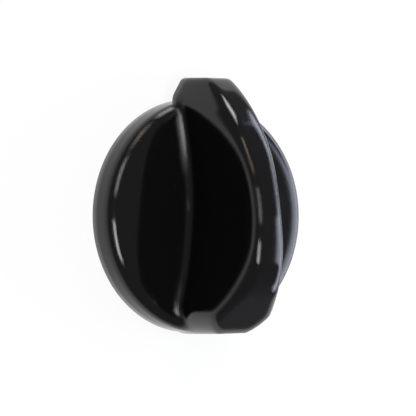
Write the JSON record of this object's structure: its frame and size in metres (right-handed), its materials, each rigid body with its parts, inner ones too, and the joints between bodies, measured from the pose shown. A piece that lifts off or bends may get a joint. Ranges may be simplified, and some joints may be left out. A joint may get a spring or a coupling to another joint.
{
  "type": "stove knob",
  "caption": "Gloss black stove knob: a skirted drum with a tall scooped grip, a nose that points past the rim, and a D socket for a valve stem.",
  "frame": {"origin": "the knob's turning axis at the plane of its back rim, at the mouth of the stem's socket", "axes": "+Z out of the face along the turning axis, +Y towards the nose, the mirror plane is X = 0"},
  "size_m": [0.056, 0.0612, 0.0324],
  "materials": {
    "black_plastic": "polished moulding",
    "spring_steel": "rolled strip"
  },
  "bodies": {
    "root": {"knob_body": "black_plastic", "spring_clip": "spring_steel"}
  },
  "joints": []
}
